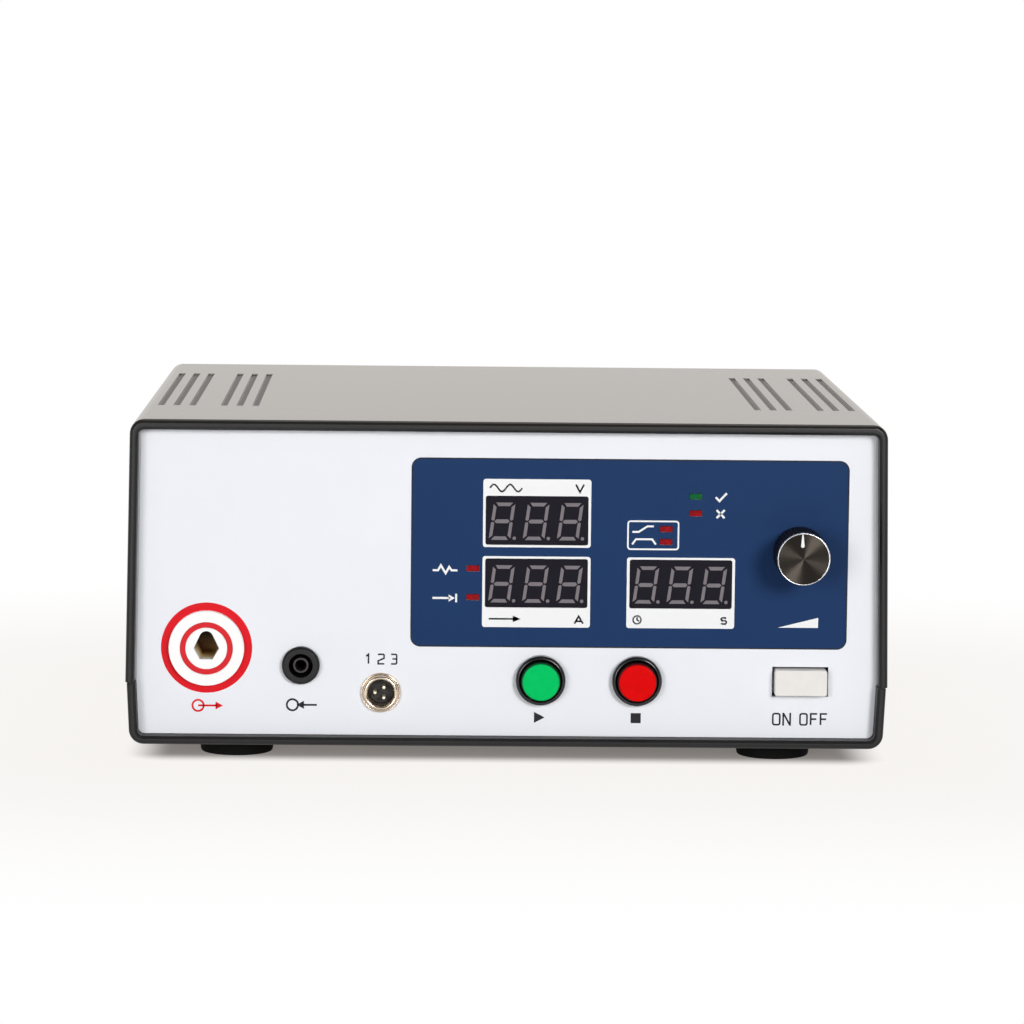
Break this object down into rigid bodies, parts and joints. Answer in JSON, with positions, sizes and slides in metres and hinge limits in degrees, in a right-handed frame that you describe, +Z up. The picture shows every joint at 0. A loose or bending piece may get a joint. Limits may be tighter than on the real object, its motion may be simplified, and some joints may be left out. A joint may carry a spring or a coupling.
{
  "type": "hipot tester",
  "caption": "Bench high voltage withstand tester in a two-part plastic case, with output jacks, displays, push buttons, level knob and a rear mains inlet.",
  "frame": {"origin": "centre of the overall box, on the plane that the feet stand on", "axes": "+X to the right seen from the front, +Y from the front panel to the rear, +Z up"},
  "size_m": [0.284, 0.2738, 0.1286],
  "materials": {
    "case_plastic": "fine moulded texture, satin",
    "panel_metal": "mill finish sheet",
    "overlay_print": "satin printed polyester film",
    "rear_metal": "fine texture black paint",
    "foot_rubber": "matt moulded rubber",
    "screw_steel": "zinc plated",
    "jack_white": "turned fluoropolymer",
    "ring_red": "satin red",
    "brass": "turned brass",
    "jack_black": "moulded black",
    "tube_nickel": "dull nickel",
    "socket_nickel": "bright nickel plate",
    "insert_black": "moulded black",
    "bezel_black": "satin moulded black",
    "cap_green": "gloss moulded green",
    "cap_red": "gloss moulded red",
    "switch_black": "moulded black",
    "power_white": "satin off-white",
    "knob_black": "black anodised, spun face",
    "pointer_white": "filled white line",
    "display_face": "dark grey face with pale unlit segments",
    "lamp_green": "unlit tinted lens",
    "lamp_red": "unlit tinted lens",
    "board_green": "solder mask",
    "core_iron": "varnished laminations",
    "coil_amber": "taped winding",
    "parts_mixed": "mixed board parts",
    "fuse_glass": "clear tube",
    "lead_red": "silicone sleeve",
    "lead_black": "flexible sleeve"
  },
  "bodies": {
    "case": {"bottom_shell": "case_plastic", "top_cover": "case_plastic", "front_panel": "panel_metal", "front_overlay": "overlay_print", "rear_panel": "rear_metal", "front_left_foot": "foot_rubber", "front_right_foot": "foot_rubber", "rear_left_foot": "foot_rubber", "rear_right_foot": "foot_rubber", "foot_screws": "screw_steel", "case_screws": "screw_steel", "machine_screws": "screw_steel", "chassis_plate": "panel_metal", "hv_insulator": "jack_white", "hv_ring": "ring_red", "hv_contact": "brass", "hv_nut": "jack_white", "return_jack": "jack_black", "return_contact": "tube_nickel", "return_nut": "screw_steel", "control_shell": "socket_nickel", "control_insert": "insert_black", "control_pins": "brass", "control_nut": "screw_steel", "start_bezel": "bezel_black", "start_spring": "screw_steel", "start_switch": "switch_black", "stop_bezel": "bezel_black", "stop_spring": "screw_steel", "stop_switch": "switch_black", "button_nuts": "switch_black", "power_switch": "switch_black", "pot_body": "screw_steel", "pot_nut": "screw_steel", "voltage_display": "display_face", "current_display": "display_face", "time_display": "display_face", "display_board": "board_green", "display_standoffs": "screw_steel", "green_led": "lamp_green", "red_leds": "lamp_red", "transformer_core": "core_iron", "transformer_coil": "coil_amber", "transformer_bolts": "screw_steel", "main_board": "board_green", "board_parts": "parts_mixed", "board_standoffs": "brass", "power_inlet": "switch_black", "inlet_pins": "screw_steel", "hv_lead": "lead_red", "return_lead": "lead_black"},
    "start_button": {"start_cap": "cap_green"},
    "stop_button": {"stop_cap": "cap_red"},
    "power_button": {"power_cap": "power_white"},
    "level_knob": {"knob": "knob_black", "knob_pointer": "pointer_white", "knob_set_screw": "screw_steel", "pot_shaft": "screw_steel"},
    "fuse_tray": {"fuse_drawer": "switch_black", "fuse": "fuse_glass"}
  },
  "joints": [
    {"name": "start_press", "type": "slide", "parent": "case", "child": "start_button", "axis": [0, 1, 0], "range_m": [0, 0.0025], "stiffness_N_per_m": 800, "springref_m": -0.002, "deforming": ["start_spring"]},
    {"name": "stop_press", "type": "slide", "parent": "case", "child": "stop_button", "axis": [0, 1, 0], "range_m": [0, 0.0025], "stiffness_N_per_m": 800, "springref_m": -0.002, "deforming": ["stop_spring"]},
    {"name": "power_press", "type": "slide", "parent": "case", "child": "power_button", "axis": [0, 1, 0], "range_m": [0, 0.003]},
    {"name": "knob_turn", "type": "hinge", "parent": "case", "child": "level_knob", "pos_m": [0.1086, -0.1161, 0.0801], "axis": [0, 1, 0], "range_deg": [-150, 150]},
    {"name": "fuse_drawer_slide", "type": "slide", "parent": "case", "child": "fuse_tray", "axis": [0, 1, 0], "range_m": [0, 0.016]}
  ]
}
